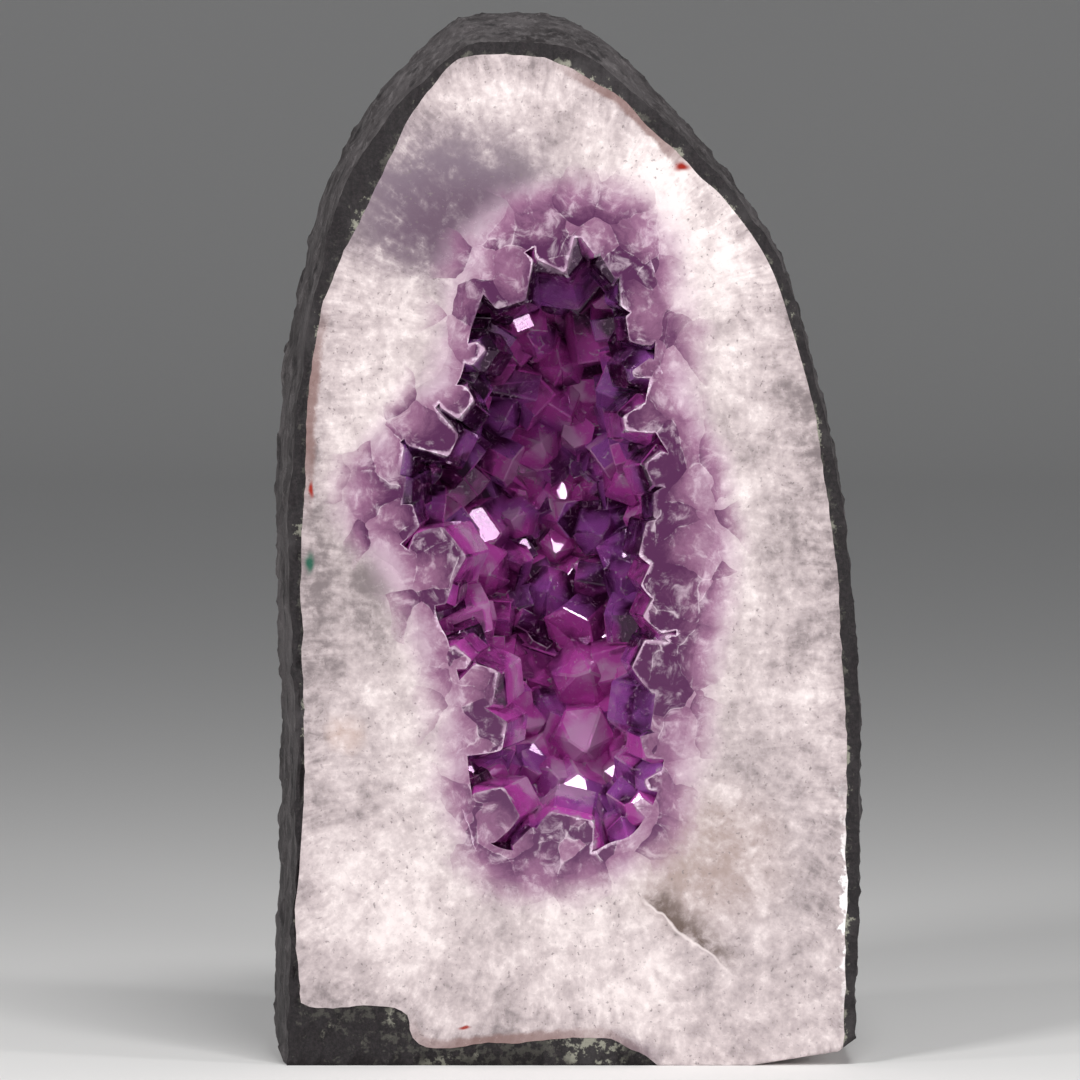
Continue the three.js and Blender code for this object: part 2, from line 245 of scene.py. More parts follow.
def roundOff(x, z, depth, back):
    share = (depth - layout["bellyDepth"]) / (back - layout["bellyDepth"])
    hub = layout["hubHeight"]
    return x * dome(share, layout["sidePower"]), hub + (z - hub) * dome(share, layout["topPower"])


def ringAt(line, station, depth, grow, back):
    x, z = line.point(station)
    awayX, awayZ = line.away(station)
    x, z = roundOff(x + awayX * grow, z + awayZ * grow, depth, back)
    return np.stack([x, np.full_like(x, faceY + depth), z], axis=1)


def stoneRing(station, depth):
    x, z = stoneLine.point(station)
    grow = swellAt(x, z) * (bellyShare(depth) - 1)
    return ringAt(stoneLine, station, depth, grow, stoneDepth)


def bubbleRing(station, depth, grow):
    x, z = quartzLine.point(station)
    swollen = layout["bubbleSwell"] * swellAt(x, z) * bellyShare(depth)
    back = stoneDepth - layout["rindBack"]
    return ringAt(quartzLine, station, depth, swollen + grow, back + grow)


def bubbleRings(station, depths, grow):
    return [bubbleRing(station, depth, grow) for depth in depths]


def hollowRing(station, depth, grow, growBack):
    # grow is how far out of the hollow's wall, one number or one for each station
    x, z = hollowLine.point(station)
    scale = dome(depth / (layout["hollowDepth"] + growBack), layout["hollowPower"])
    fromX, fromZ = x - hollowCentre[0], z - hollowCentre[1]
    length = np.hypot(fromX, fromZ)
    stretch = scale + grow * min(1, 2 * scale) / length
    return np.stack([hollowCentre[0] + fromX * stretch, np.full_like(x, faceY + depth),
                     hollowCentre[1] + fromZ * stretch], axis=1)


def closingDepths(start, end, count):
    return start + (end - start) * np.sin(np.linspace(0, 1, count) * math.pi / 2 * 0.985)


def poleRing(ring):
    return np.repeat(ring.mean(0)[None], len(ring), 0)


# a closed skin from rings of points: a grid rolled up round the piece

def vertexPlaces(piece):
    places = np.empty(len(piece.data.vertices) * 3)
    piece.data.vertices.foreach_get("co", places)
    return places.reshape(-1, 3)


def addSkin(name, rings):
    rings = np.asarray(rings)
    rows, columns = rings.shape[:2]
    deselectAll()
    bpy.ops.mesh.primitive_grid_add(x_subdivisions=columns, y_subdivisions=rows - 1, size=1)
    piece = bpy.context.object
    piece.name = piece.data.name = name
    flat = vertexPlaces(piece)
    column = np.rint((flat[:, 0] + 0.5) * columns).astype(int) % columns
    row = np.rint((flat[:, 1] + 0.5) * (rows - 1)).astype(int)
    piece.data.vertices.foreach_set("co", rings[row, column].ravel())
    piece.data.update()
    return piece, row, column


def closeSkin(piece, shadeSmooth=True):
    pick(piece)
    bpy.ops.object.mode_set(mode="EDIT")
    bpy.ops.mesh.select_all(action="SELECT")
    bpy.ops.mesh.remove_doubles(threshold=0.002 * mm)
    bpy.ops.mesh.select_all(action="SELECT")
    bpy.ops.mesh.normals_make_consistent(inside=False)
    bpy.ops.object.mode_set(mode="OBJECT")
    if shadeSmooth:
        bpy.ops.object.shade_smooth_by_angle(angle=math.radians(38))


def noteOn(piece, name, values, domain="POINT"):
    layer = piece.data.attributes.new(name, "FLOAT", domain)
    layer.data.foreach_set("value", np.asarray(values, dtype=np.float32))


def outOfHollow(x, z):
    return radiusOf(x, z) - hollowLine.at(stationOf(x, z), hollowLine.radii)


def grain(points, size, stretch=(1, 1, 1), octaves=3):
    # fractal noise from about -1 to 1, with lumps of the given size
    steps = np.asarray(points) / size / np.asarray(stretch)
    return np.array([noise.fractal(place, 1.0, 2.0, octaves) for place in steps.tolist()])


baseCuts = [  # a point on each cut and the direction it faces: the base and its worn edges
    ((0, 0, 0), (0, 0, -1)),
    ((0.62 * halfWidth, 0, 0), (0.16, 0, -1)),
    ((0.93 * halfWidth, 0, 5.5 * mm), (0.75, 0, -1)),
    ((-0.965 * halfWidth, 0, 0), (-0.7, 0, -1)),
    ((-0.99 * halfWidth, 0, 4 * mm), (-1, 0, -0.45)),
]


def cutOff(place, facing):
    # in edit mode, takes away what lies beyond a plane and closes the cut
    bpy.ops.mesh.select_all(action="SELECT")
    bpy.ops.mesh.bisect(plane_co=place, plane_no=facing, use_fill=True, clear_outer=True)


def sawBase(piece):
    pick(piece)
    bpy.ops.object.mode_set(mode="EDIT")
    for place, facing in baseCuts:
        cutOff(place, facing)
    bpy.ops.object.mode_set(mode="OBJECT")


# nodes of a material

def newMaterial(name):
    material = bpy.data.materials.new(name)
    material.use_nodes = True
    tree = material.node_tree
    shader = tree.nodes["Principled BSDF"]
    return material, tree, shader


def addNode(tree, kind, feeds=None, **settings):
    node = tree.nodes.new("ShaderNode" + kind)
    for name, value in settings.items():
        setattr(node, name, value)
    for key, value in (feeds or {}).items():
        socket = node.inputs[key]
        if isinstance(value, bpy.types.NodeSocket):
            tree.links.new(value, socket)
        else:
            socket.default_value = value
    return node


def blendColours(tree, factor, first, second):
    node = addNode(tree, "Mix", data_type="RGBA")
    for index, value in ((0, factor), (6, first), (7, second)):
        if isinstance(value, bpy.types.NodeSocket):
            tree.links.new(value, node.inputs[index])
        else:
            node.inputs[index].default_value = value if index == 0 else (*value, 1)
    return node.outputs[2]


def figure(tree, how, first, second=0.0, third=0.0):
    return addNode(tree, "Math", {0: first, 1: second, 2: third}, operation=how).outputs[0]


def easeBetween(tree, value, start, end, low=0.0, high=1.0):
    node = addNode(tree, "MapRange", {"Value": value, "From Min": start, "From Max": end,
                                      "To Min": low, "To Max": high},
                   interpolation_type="SMOOTHSTEP")
    return node.outputs["Result"]


def layered(tree, look, first, layers):
    # a colour with others over it: what each follows, from where to where, and its shares there
    colour = look[first]
    for value, start, end, low, high, name in layers:
        share = easeBetween(tree, value, start, end, low, high)
        colour = blendColours(tree, share, colour, look[name])
    return colour


def speckle(tree, where, scale, detail=3.0, roughness=0.5, distortion=0.0):
    node = addNode(tree, "TexNoise", {"Vector": where, "Scale": scale, "Detail": detail,
                                      "Roughness": roughness, "Distortion": distortion})
    return node.outputs["Fac"]


def stretched(tree, where, scale):
    return addNode(tree, "Mapping", {"Vector": where, "Scale": scale}).outputs["Vector"]


def noted(tree, name):
    # a figure that is stored on the mesh
    return addNode(tree, "Attribute", attribute_name=name).outputs["Fac"]


def vectorFigure(tree, how, first, second=(0, 0, 0), output="Vector"):
    return addNode(tree, "VectorMath", {0: first, 1: second}, operation=how).outputs[output]


def times(tree, first, second):
    return figure(tree, "MULTIPLY", first, second)


def addShare(tree, total, value, share):
    return figure(tree, "MULTIPLY_ADD", value, share, total)


def objectPlace(tree):
    return addNode(tree, "TexCoord").outputs["Object"]


def bumpFrom(tree, height, distance, strength=1.0, under=None):
    feeds = {"Height": height, "Distance": distance, "Strength": strength}
    if under is not None:
        feeds["Normal"] = under
    return addNode(tree, "Bump", feeds).outputs["Normal"]


# the basalt rind

rind = {
    "columns": 520,
    "innerRows": 14,
    "rimRows": 7,
    "outerRows": 96,
    "innerFront": (26 * mm, 12 * mm, 4 * mm),  # depths of the inner rings near the face
    "outerStart": (0.7 * mm, 2 * mm),  # depths of the first two outer rings
    "beltRows": 22,  # outer rings from there to the widest part
    "rimRecess": 0.15 * mm,  # so that the quartz face stands just proud
    "brokenDepth": 1.6 * mm,  # how far the rim is broken back on the left and below
    "wornEdge": 0.5 * mm,
    "thinnest": 2.8 * mm,
    "deepest": (-0.9 * mm, -4 * mm),  # the relief's limit at the face, and where the rind is thick
    "thickFrom": 20 * mm,
    "wideWander": 0.9 * mm,  # of the line where quartz meets basalt
    "fineWander": 0.5 * mm,
    "lumps": 1.0 * mm,
    "knobs": 0.75 * mm,
    "grooves": 0.45 * mm,
    "pits": 1.1 * mm,
    "pitStart": 0.28,
    "pitSlope": 0.4,
}


def rindRelief(points):
    # how far the outside stands out or in; each grain is read at a place of its own
    lumps = grain(points, 46 * mm) * rind["lumps"]
    knobs = grain(points + 0.3, 11 * mm, octaves=4) * rind["knobs"]
    grooves = -np.abs(grain(points + 0.7, 4.5 * mm, (1, 1, 6))) * rind["grooves"]
    pitNoise = grain(points + 1.1, 5.5 * mm, (1, 1, 1.6), 2)
    pits = np.clip((pitNoise - rind["pitStart"]) / rind["pitSlope"], 0, 1) * rind["pits"]
    return lumps + knobs + grooves - pits


def borderWander(station):
    # the wavy line where quartz meets basalt, kept inside the edge of the stone
    border, edge = bubbleRing(station, 0.0, 0.0), stoneRing(station, 0.0)
    wander = grain(border + 2.3, 24 * mm, octaves=2) * rind["wideWander"]
    wander += grain(border + 3.1, 5 * mm) * rind["fineWander"]
    room = radiusOf(edge[:, 0], edge[:, 2]) - radiusOf(border[:, 0], border[:, 2])
    return np.minimum(wander, room - rind["thinnest"])


def makeRind():
    station = stoneLine.evenStations(rind["columns"])
    wander = borderWander(station)
    back = stoneDepth - layout["rindBack"]
    deep = closingDepths(layout["bellyDepth"], back, rind["innerRows"])[::-1]
    inner = bubbleRings(station, [*deep, *rind["innerFront"]], wander)
    inner.insert(0, poleRing(inner[0]))

    first, second = rind["outerStart"]
    depths = np.concatenate([
        [first], np.linspace(second, layout["bellyDepth"], rind["beltRows"], endpoint=False),
        closingDepths(layout["bellyDepth"], stoneDepth, rind["outerRows"] - rind["beltRows"] - 1),
    ])
    outer = np.array([stoneRing(station, depth) for depth in depths])
    alongDepth = np.gradient(outer, axis=0)
    alongStation = np.roll(outer, -1, 1) - np.roll(outer, 1, 1)
    normal = np.cross(alongStation, alongDepth)
    normal /= np.linalg.norm(normal, axis=2)[:, :, None] + 1e-12
    normal[:4, :, 1] = 0  # near the face the relief only goes sideways
    relief = rindRelief(outer.reshape(-1, 3)).reshape(outer.shape[:2])
    deepest = np.interp(depths, (0, rind["thickFrom"]), rind["deepest"])
    relief = np.maximum(relief, deepest[:, None])
    outer = outer + normal * relief[:, :, None]

    edge = outer[0].copy()
    edge[:, 1] = faceY + rind["rimRecess"]
    edge -= normal[0] * rind["wornEdge"]
    border = bubbleRing(station, 0.0, wander)
    border[:, 1] = faceY + rind["rimRecess"]
    # the rim is broken most on the left, some below, and less higher up
    leftOrLow = np.clip(-border[:, 0] / halfWidth * 3 - 1.2, 0, 1)
    leftOrLow = np.maximum(leftOrLow, np.clip(1.6 - border[:, 2] / (8 * mm), 0, 1) * 0.8)
    leftOrLow *= np.clip(1.5 - border[:, 2] / tall * 1.6, 0.12, 1)
    rim = []
    for share in np.linspace(0, 1, rind["rimRows"]):
        ring = border + (edge - border) * share
        rough = np.clip(grain(ring + 5.1, 5 * mm, octaves=4) + 0.35, 0, 1.1)
        middle = math.sin(min(share * 1.4, 1) * math.pi) if share < 0.72 else 0
        ring[:, 1] += rough * leftOrLow * rind["brokenDepth"] * (0.25 + middle) * (share < 0.95)
        rim.append(ring)

    rings = np.concatenate([inner, rim, outer, [poleRing(outer[-1])]])
    piece, row = addSkin("rindStone", rings)[:2]
    firstRim, firstOuter = len(inner), len(inner) + len(rim)
    noteOn(piece, "sawn", (row >= firstRim) & (row < firstOuter))
    noteOn(piece, "fromQuartz", np.clip((row - firstRim) / rind["rimRows"], 0, 1))
    closeSkin(piece)
    sawBase(piece)
    return piece


rindLook = {
    "dark": (0.028, 0.0235, 0.0245),
    "grey": (0.066, 0.058, 0.060),
    "streak": (0.17, 0.155, 0.158),
    "knob": (0.13, 0.118, 0.12),
    "dint": (0.013, 0.011, 0.012),
    "fleck": (0.22, 0.205, 0.2),
    "sawnDark": (0.008, 0.006, 0.007),
    "sawnGrain": (0.020, 0.015, 0.017),
    "sawnGrey": (0.065, 0.058, 0.06),
    "crust": (0.24, 0.235, 0.19),
}


def basaltMaterial():
    material, tree, shader = newMaterial("basalt")
    where = objectPlace(tree)
    sawn, fromQuartz = noted(tree, "sawn"), noted(tree, "fromQuartz")
    look = rindLook
    upright = stretched(tree, wavered(tree, where, 45, 0.006), (1, 1, 0.17))
    broad = speckle(tree, where, 28, 5, 0.6)
    fine = speckle(tree, where, 900, 4, 0.7)
    streak = speckle(tree, upright, 330, 5, 0.7)
    dints = speckle(tree, stretched(tree, where, (1, 1, 0.5)), 140, 4, 0.6)
    knobs = speckle(tree, where, 130, 4, 0.6)
    colour = layered(tree, look, "dark", (
        (broad, 0.36, 0.64, 0, 1, "grey"), (streak, 0.46, 0.68, 0, 0.45, "streak"),
        (knobs, 0.5, 0.66, 0, 0.35, "knob"), (dints, 0.56, 0.68, 0, 0.8, "dint"),
        (fine, 0.6, 0.74, 0, 0.5, "fleck")))
    sawnColour = layered(tree, look, "sawnDark", (
        (fine, 0.4, 0.66, 0, 1, "sawnGrain"), (broad, 0.5, 0.66, 0, 0.5, "sawnGrey")))
    crumbs = addShare(tree, speckle(tree, where, 260, 5, 0.7), fromQuartz, -0.25)
    crust = times(tree, easeBetween(tree, crumbs, 0.47, 0.56),
                  easeBetween(tree, broad, 0.48, 0.58, 0.15, 1))
    sawnColour = blendColours(tree, crust, sawnColour, look["crust"])
    colour = blendColours(tree, sawn, colour, sawnColour)
    tree.links.new(colour, shader.inputs["Base Color"])
    shader.inputs["Specular IOR Level"].default_value = 0.3
    tree.links.new(easeBetween(tree, streak, 0.3, 0.7, 0.5, 0.8), shader.inputs["Roughness"])
    normal = bumpFrom(tree, addShare(tree, fine, streak, 2.0), 0.35 * mm, 0.9)
    rough = times(tree, knobs, figure(tree, "SUBTRACT", 1.0, sawn))
    normal = bumpFrom(tree, rough, 3.0 * mm, 0.8, normal)
    tree.links.new(normal, shader.inputs["Normal"])
    return material


# the quartz wall

quartz = {
    "columns": 360,
    "bowlFront": (0.8, 1.8, 3, 4.5, 7),  # depths of the first rings of the bowl in mm
    "bowlDeep": 10,  # where its even rings start
    "bowlRows": 20,
    "faceRows": 70,
    "behindFace": (8 * mm, 22 * mm),
    "outerRows": 12,
    "rimWidth": 5.5 * mm,  # how far the amethyst reaches past the hollow on the sawn face
    "rimWander": 4 * mm,
    "rimLeast": 3.5 * mm,
    "wedge": 5 * mm,  # where the bowl turns down behind the rim
    "underCrystals": 4.5 * mm,  # from the hollow's wall back to the bowl
    "underCrystalsBack": 8 * mm,
    "overlap": 0.3 * mm,  # into the rind, so that no gap shows
}


def mouthGrain(station, shift, size, octaves):
    x, z = hollowLine.point(station)
    return grain(np.stack([x, np.zeros_like(x), z], axis=1) + shift, size, octaves=octaves)


def bowlGrow(station, depth):
    # the bowl is widest at the face and narrows quickly behind it
    wide = quartz["rimWidth"] + quartz["rimWander"] * mouthGrain(station, 4.4, 17 * mm, 3)
    slope = max(1 - depth / quartz["wedge"], 0)
    least = quartz["underCrystals"]
    return least + (np.clip(wide, quartz["rimLeast"], None) - least) * slope


def bowlRing(station, depth, more=0.0):
    return hollowRing(station, max(depth, 0), bowlGrow(station, depth) + more,
                      quartz["underCrystalsBack"] + more) + (0, min(depth, 0), 0)


def makeQuartz():
    station = quartzLine.evenStations(quartz["columns"])
    wander = borderWander(station) + quartz["overlap"]
    bowlEnd = layout["hollowDepth"] + quartz["underCrystalsBack"]
    deepRows = closingDepths(quartz["bowlDeep"], bowlEnd / mm, quartz["bowlRows"])
    depths = np.concatenate([quartz["bowlFront"], deepRows]) * mm
    bowl = [bowlRing(station, depth) for depth in depths[::-1]]
    bowl.insert(0, poleRing(bowl[0]))
    innerEdge = bowlRing(station, 0.0)
    outerEdge = bubbleRing(station, 0.0, wander)
    shares = np.linspace(0, 1, quartz["faceRows"])[:, None, None]
    face = innerEdge + (outerEdge - innerEdge) * shares
    back = stoneDepth - layout["rindBack"]
    closing = closingDepths(layout["bellyDepth"], back, quartz["outerRows"])
    behind = bubbleRings(station, [*quartz["behindFace"], *closing], wander)
    rings = np.concatenate([bowl, face, behind, [poleRing(behind[-1])]])
    piece, row, column = addSkin("quartzWall", rings)

    points = rings[row, column]
    deep = np.clip((points[:, 1] - faceY) / (2 * mm), 0, 1)
    noteOn(piece, "underCrystals", deep * (row < len(bowl)))
    closeSkin(piece)
    sawBase(piece)
    noteGrowth(piece)
    return piece


def noteGrowth(piece):
    # how far a point is out of the hollow and in from the rind, and both ways as a UV map
    x, z = vertexPlaces(piece)[:, 0], vertexPlaces(piece)[:, 2]
    station, out = stationOf(x, z), outOfHollow(x, z)
    noteOn(piece, "outOfHollow", out / mm)
    fromBorder = quartzLine.at(station, quartzLine.radii) - radiusOf(x, z)
    noteOn(piece, "fromBorder", fromBorder / mm)
    corners = np.empty(len(piece.data.loops), dtype=int)
    piece.data.loops.foreach_get("vertex_index", corners)
    around = station[corners]
    half = stationTotal / 2
    for polygon in piece.data.polygons:  # no face runs backwards where the stations start again
        span = slice(polygon.loop_start, polygon.loop_start + polygon.loop_total)
        if np.ptp(around[span]) > half:
            around[span] += np.where(around[span] < half, stationTotal, 0)
    layer = piece.data.uv_layers.active.data
    layer.foreach_set("uv", np.stack([around, out[corners]], axis=1).ravel())


def softSpot(tree, where, x, z, wide, high, deep=60):
    # 1 at a place on the sawn face, easing to 0 at the edge of an ellipsoid; all in mm
    away = vectorFigure(tree, "SUBTRACT", where, (x * mm, faceY, z * mm))
    share = vectorFigure(tree, "DIVIDE", away, (wide * mm, deep * mm, high * mm))
    far = vectorFigure(tree, "LENGTH", share, output="Value")
    return easeBetween(tree, far, 0.25, 1.0, 1, 0)


def addSpots(tree, where, total, spots, deep=60):
    for *spot, by in spots:
        total = addShare(tree, total, softSpot(tree, where, *spot, deep), by)
    return total


def wavered(tree, where, scale, by):
    # the place pushed about by noise, so that what reads it has crooked edges
    sway = addNode(tree, "TexNoise", {"Vector": where, "Scale": scale, "Detail": 2})
    sway = vectorFigure(tree, "SUBTRACT", sway.outputs["Color"], (0.5, 0.5, 0.5))
    return vectorFigure(tree, "ADD", where, vectorFigure(tree, "MULTIPLY", sway, (by, by, by)))


purpleLook = {
    "deep": (0.085, 0.024, 0.075),
    "mid": (0.27, 0.125, 0.215),
    "lilac": (0.50, 0.36, 0.44),
    "wall": (0.74, 0.60, 0.68),  # the thin pale lines between the cut crystals
    "crystals": 66,  # to a metre
    "wider": [  # x, z, half width, half height, and how many mm further in the tones shift
        (0, 300, 62, 42, -6.5),
        (42, 190, 30, 100, -8.0),
        (-60, 190, 30, 40, -4.0),
    ],
}


def purpleZone(tree, where, outOf, colour):
    # the cut amethyst: crystal by crystal from deep purple to lilac, fading outwards into colour
    look = purpleLook
    crooked = wavered(tree, where, 70, 0.010)
    clouds = speckle(tree, where, 34, 4, 0.6)
    mottle = speckle(tree, crooked, 170, 5, 0.65, 0.4)
    fine = speckle(tree, crooked, 420, 3, 0.75)
    cut = {"Vector": crooked, "Scale": look["crystals"]}
    cells = addNode(tree, "TexVoronoi", cut)
    tint = addNode(tree, "SeparateColor", {0: cells.outputs["Color"]}).outputs[0]
    fromEdge = addNode(tree, "TexVoronoi", cut, feature="DISTANCE_TO_EDGE").outputs["Distance"]
    depth = addSpots(tree, where, addShare(tree, outOf, tint, 5.0), look["wider"])
    for value, share in ((clouds, 16.0), (mottle, 8.0)):
        depth = addShare(tree, depth, value, share)
    hue = depth
    for value, share in ((tint, 15.0), (fromEdge, 20.0), (fine, 14.0)):
        hue = addShare(tree, hue, value, share)
    zone = layered(tree, look, "deep", (
        (hue, 17, 37, 0, 1, "mid"), (hue, 31, 48, 0, 1, "lilac"),
        (mottle, 0.5, 0.72, 0, 0.45, "wall")))
    colour = blendColours(tree, easeBetween(tree, depth, 15, 33, 1, 0), colour, zone)
    line = easeBetween(tree, fromEdge, 0.0, 0.02, 1, 0)
    line = times(tree, line, easeBetween(tree, depth, 12, 26, 0.5, 0.0))
    line = times(tree, line, easeBetween(tree, mottle, 0.46, 0.62))
    return blendColours(tree, line, colour, look["wall"])


quartzLook = {
    "white": (0.78, 0.69, 0.68),
    "milk": (0.50, 0.42, 0.425),
    "grey": (0.19, 0.155, 0.16),
    "lavender": (0.18, 0.135, 0.17),
    "mauve": (0.12, 0.075, 0.11),
    "smoky": (0.34, 0.245, 0.215),
    "clear": (0.12, 0.082, 0.07),
    "apricot": (0.66, 0.44, 0.33),
    "rose": (0.19, 0.105, 0.095),
    "red": (0.27, 0.02, 0.012),
    "green": (0.02, 0.09, 0.06),
    "glow": (0.70, 0.36, 0.62),
    "glowPink": (0.85, 0.42, 0.66),
    "lighter": [  # x, z, half width, half height in mm, by how much
        (46, 298, 50, 54, 0.15),
        (-8, 338, 34, 26, 0.02),
        (58, 165, 14, 50, 0.05),
        (-66, 62, 34, 44, 0.05),
        (-72, 236, 26, 34, 0.04),
        (-40, 302, 50, 36, -0.12),
        (4, 38, 44, 34, 0.07),
        (-76, 160, 32, 60, -0.13),
        (84, 205, 24, 90, -0.06),
        (72, 70, 44, 60, -0.05),
    ],
    "stains": [  # colour, x, z, half width, half height, share
        ("lavender", -42, 304, 56, 40, 1.0),
        ("mauve", -36, 294, 44, 26, 0.95),
        ("smoky", 46, 74, 40, 34, 0.7),
        ("apricot", -79, 117, 9, 9, 0.3),
        ("mauve", 12, 2, 28, 11, 0.8),
    ],
    "seams": [  # where a brownish agate line runs along the rind
        (24, 336, 40, 40),
        (-90, 232, 20, 44),
        (-20, 4, 60, 20),
    ],
    "specks": [
        ("red", 40, 315, 3.4, 2.6),
        ("red", -90, 203, 1.8, 4.4),
        ("green", -91, 178, 2.4, 4.5),
        ("red", -36, 13, 3.2, 1.1),
    ],
    "crackStart": (25 * mm, faceY, 61 * mm),
    "crackWay": (0.75, 0, -0.66),
    "crackAcross": (0.66, 0, 0.75),
    "flake": (0.92, 0.88, 0.88),
    "chips": (92, 56, 14, 54),
}


def sawnQuartz(tree, where, nearHollow=False):
    # milky clouds, lumps and grains, columns that grow in from the rind, stains and purple;
    # near the hollow there are no columns and none of what lies along the rind
    look = quartzLook
    outOf, fromBorder = noted(tree, "outOfHollow"), noted(tree, "fromBorder")
    curled = wavered(tree, where, 90, 0.008)
    clouds = speckle(tree, where, 26, 4, 0.62)
    lumps = speckle(tree, curled, 95, 6, 0.68)
    grains = speckle(tree, where, 340, 4, 0.6)
    fibres = columns = 0.5
    if not nearHollow:
        swayed = wavered(tree, addNode(tree, "UVMap").outputs["UV"], 45, 0.012)
        fibres = speckle(tree, stretched(tree, swayed, (420, 70, 1)), 1.0, 4, 0.6)
        columns = speckle(tree, stretched(tree, swayed, (130, 24, 1)), 1.0, 4, 0.55)
    shade = -0.04
    for value, share in ((clouds, 0.5), (lumps, 0.62), (columns, 0.2), (grains, 0.26)):
        shade = addShare(tree, shade, value, share)
    fibre = figure(tree, "SUBTRACT", fibres, 0.5)
    shade = addShare(tree, shade, fibre, easeBetween(tree, fromBorder, 3, 26, 0.3, 0.08))
    shade = figure(tree, "ADD", shade, easeBetween(tree, fromBorder, 0, 14, -0.06, 0.0))
    shade = addSpots(tree, curled, shade, look["lighter"])
    colour = layered(tree, look, "grey", (
        (shade, 0.48, 0.78, 0, 1, "milk"), (shade, 0.71, 0.96, 0, 1, "white")))
    for name, *spot, share in look["stains"]:
        stain = times(tree, softSpot(tree, curled, *spot),
                      easeBetween(tree, shade, 0.62, 0.88, share, 0.3 * share))
        colour = blendColours(tree, stain, colour, look[name])

    if nearHollow:
        return purpleZone(tree, where, outOf, colour), grains
    pores = easeBetween(tree, speckle(tree, where, 700, 2, 0.5), 0.63, 0.71)
    pores = times(tree, pores, easeBetween(tree, lumps, 0.42, 0.62, 0.75, 0.15))
    colour = blendColours(tree, pores, colour, look["grey"])

    # a crack with clear brownish quartz above it
    away = vectorFigure(tree, "SUBTRACT", curled, look["crackStart"])
    along = vectorFigure(tree, "DOT_PRODUCT", away, look["crackWay"], "Value")
    above = vectorFigure(tree, "DOT_PRODUCT", away, look["crackAcross"], "Value")
    onCrack = times(tree, easeBetween(tree, along, 0, 8 * mm),
                    easeBetween(tree, along, 26 * mm, 52 * mm, 1, 0))
    clear = times(tree, easeBetween(tree, above, 0, 0.8 * mm),
                  easeBetween(tree, above, 2 * mm, 11 * mm, 1, 0))
    clear = times(tree, clear, easeBetween(tree, lumps, 0.4, 0.62, 1.0, 0.3))
    line = easeBetween(tree, figure(tree, "ABSOLUTE", above), 0.1 * mm, 0.8 * mm, 0.6, 0)
    for share, name in ((clear, "clear"), (line, "white")):
        colour = blendColours(tree, times(tree, share, onCrack), colour, look[name])
    colour = purpleZone(tree, where, outOf, colour)

    # the agate line, mineral specks, and white chips at the rind
    agate = easeBetween(tree, addShare(tree, fromBorder, lumps, 5.0), 4.2, 6.2, 0.8, 0)
    for spot in look["seams"]:
        seam = times(tree, softSpot(tree, curled, *spot), agate)
        colour = blendColours(tree, seam, colour, look["rose"])
    for name, *spot in look["specks"]:
        colour = blendColours(tree, softSpot(tree, curled, *spot), colour, look[name])
    chips = addShare(tree, fromBorder, speckle(tree, where, 190, 4, 0.7), 16.0)
    chips = easeBetween(tree, chips, 8.0, 10.0, 1, 0)
    chips = times(tree, softSpot(tree, where, *look["chips"]), chips)
    return blendColours(tree, chips, colour, look["flake"]), grains


def quartzMaterial():
    material, tree, shader = newMaterial("quartz")
    where = objectPlace(tree)
    colour, grains = sawnQuartz(tree, where)

    # pale behind the crystals, so that light comes back out through them
    under = noted(tree, "underCrystals")
    patches = speckle(tree, where, 24, 4, 0.55)
    glow = layered(tree, quartzLook, "glow", ((patches, 0.4, 0.62, 0, 1, "glowPink"),))
    colour = blendColours(tree, under, colour, glow)

    tree.links.new(colour, shader.inputs["Base Color"])
    shader.inputs["IOR"].default_value = 1.54
    tree.links.new(easeBetween(tree, grains, 0.3, 0.7, 0.1, 0.3), shader.inputs["Roughness"])
    normal = bumpFrom(tree, grains, 0.12 * mm, 0.5)
    tree.links.new(normal, shader.inputs["Normal"])
    return material


# the amethyst lining

